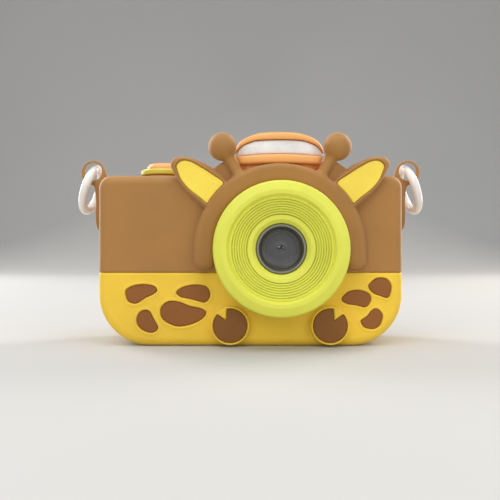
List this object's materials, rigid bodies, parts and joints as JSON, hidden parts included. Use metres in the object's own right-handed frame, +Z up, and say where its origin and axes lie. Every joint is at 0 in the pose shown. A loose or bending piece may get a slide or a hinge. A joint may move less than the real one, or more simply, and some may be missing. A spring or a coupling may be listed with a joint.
{
  "type": "kids digital camera",
  "caption": "Toy camera in a soft animal sleeve with arch, ears and ball horns round a grooved lens disc, top shutter button, rear screen and keys, and side strap rings.",
  "frame": {"origin": "middle of the flat underside of the sleeve, half way through its depth", "axes": "+X to the right seen from the lens side, +Y from the lens side to the screen side, +Z up"},
  "size_m": [0.1204, 0.0435, 0.0705],
  "materials": {
    "sleeve_brown": "soft matte silicone",
    "sleeve_yellow": "soft matte silicone",
    "patch_brown": "soft matte silicone",
    "hoof_brown": "soft matte silicone",
    "ear_yellow": "soft matte silicone",
    "case_orange": "satin moulded plastic",
    "flash_white": "milky translucent",
    "circuit_board": "solder mask",
    "led_yellow": "clear phosphor",
    "lens_lime": "satin moulded plastic",
    "bezel_dark": "semi-gloss",
    "lens_glass": "tinted cover glass",
    "black_plastic": "moulded",
    "clear_glass": "polished",
    "sensor_glass": "glass-topped chip",
    "ribbon_film": "polyimide film",
    "switch_steel": "tinned",
    "lcd_dark": "display",
    "window_clear": "hard-coated cover",
    "battery_wrap": "foil pouch",
    "connector_white": "moulded",
    "lead_red": "insulation",
    "socket_steel": "stamped",
    "button_lime": "semi-gloss",
    "button_orange": "semi-gloss",
    "button_yellow": "semi-gloss",
    "screw_steel": "zinc plated",
    "ring_white": "glossy"
  },
  "bodies": {
    "camera": {"sleeve_upper": "sleeve_brown", "sleeve_lower": "sleeve_yellow", "sleeve_patches": "patch_brown", "hoof_pads": "hoof_brown", "ear_inlays": "ear_yellow", "front_shell": "case_orange", "rear_shell": "case_orange", "flash_window": "flash_white", "flash_board": "circuit_board", "flash_leds": "led_yellow", "lens_disc": "lens_lime", "lens_bezel": "bezel_dark", "lens_cover_glass": "lens_glass", "lens_barrel": "black_plastic", "lens_elements": "clear_glass", "lens_holder": "black_plastic", "image_sensor": "sensor_glass", "sensor_board": "circuit_board", "sensor_ribbon": "ribbon_film", "main_board": "circuit_board", "board_chips": "black_plastic", "button_board": "circuit_board", "tact_switches": "switch_steel", "lcd_panel": "lcd_dark", "lcd_window": "window_clear", "lcd_ribbon": "ribbon_film", "battery": "battery_wrap", "battery_connector": "connector_white", "battery_leads": "lead_red", "speaker": "black_plastic", "microphone": "switch_steel", "usb_socket": "socket_steel", "card_socket": "socket_steel", "shutter_collar": "button_lime", "case_screws": "screw_steel", "board_screws": "screw_steel"},
    "memory_card": {"memory_card": "black_plastic"},
    "port_cover": {"port_cover": "sleeve_brown"},
    "shutter_button": {"shutter_button": "button_orange"},
    "power_button": {"power_button": "button_orange"},
    "key_up": {"key_up": "button_lime"},
    "key_down": {"key_down": "button_lime"},
    "key_left": {"key_left": "button_lime"},
    "key_right": {"key_right": "button_lime"},
    "key_ok": {"key_ok": "button_orange"},
    "key_menu": {"key_menu": "button_yellow"},
    "key_play": {"key_play": "button_yellow"},
    "lanyard_ring_left": {"lanyard_ring_left": "ring_white"},
    "lanyard_ring_right": {"lanyard_ring_right": "ring_white"}
  },
  "joints": [
    {"name": "shutter_press", "type": "slide", "parent": "camera", "child": "shutter_button", "axis": [0, 0, -1], "range_m": [0, 0.0011], "stiffness_N_per_m": 500, "springref_m": -0.001},
    {"name": "power_press", "type": "slide", "parent": "camera", "child": "power_button", "axis": [0, 0, -1], "range_m": [0, 0.0008], "stiffness_N_per_m": 500, "springref_m": -0.001},
    {"name": "key_up_press", "type": "slide", "parent": "camera", "child": "key_up", "axis": [0, -1, 0], "range_m": [0, 0.0008], "stiffness_N_per_m": 500, "springref_m": -0.001},
    {"name": "key_down_press", "type": "slide", "parent": "camera", "child": "key_down", "axis": [0, -1, 0], "range_m": [0, 0.0008], "stiffness_N_per_m": 500, "springref_m": -0.001},
    {"name": "key_left_press", "type": "slide", "parent": "camera", "child": "key_left", "axis": [0, -1, 0], "range_m": [0, 0.0008], "stiffness_N_per_m": 500, "springref_m": -0.001},
    {"name": "key_right_press", "type": "slide", "parent": "camera", "child": "key_right", "axis": [0, -1, 0], "range_m": [0, 0.0008], "stiffness_N_per_m": 500, "springref_m": -0.001},
    {"name": "key_ok_press", "type": "slide", "parent": "camera", "child": "key_ok", "axis": [0, -1, 0], "range_m": [0, 0.0008], "stiffness_N_per_m": 500, "springref_m": -0.001},
    {"name": "key_menu_press", "type": "slide", "parent": "camera", "child": "key_menu", "axis": [0, -1, 0], "range_m": [0, 0.0008], "stiffness_N_per_m": 500, "springref_m": -0.001},
    {"name": "key_play_press", "type": "slide", "parent": "camera", "child": "key_play", "axis": [0, -1, 0], "range_m": [0, 0.0008], "stiffness_N_per_m": 500, "springref_m": -0.001},
    {"name": "card_slide", "type": "slide", "parent": "camera", "child": "memory_card", "axis": [-1, 0, 0], "range_m": [0, 0.012]},
    {"name": "port_cover_hinge", "type": "hinge", "parent": "camera", "child": "port_cover", "pos_m": [0.0491, 0.00385, 0.031], "axis": [0, 0, 1], "range_deg": [0, 100]},
    {"name": "left_ring_swing", "type": "hinge", "parent": "camera", "child": "lanyard_ring_left", "pos_m": [-0.0549, 0, 0.0588], "axis": [0, 1, 0], "range_deg": [0, 80]},
    {"name": "right_ring_swing", "type": "hinge", "parent": "camera", "child": "lanyard_ring_right", "pos_m": [0.0549, 0, 0.0588], "axis": [0, -1, 0], "range_deg": [0, 80]}
  ]
}
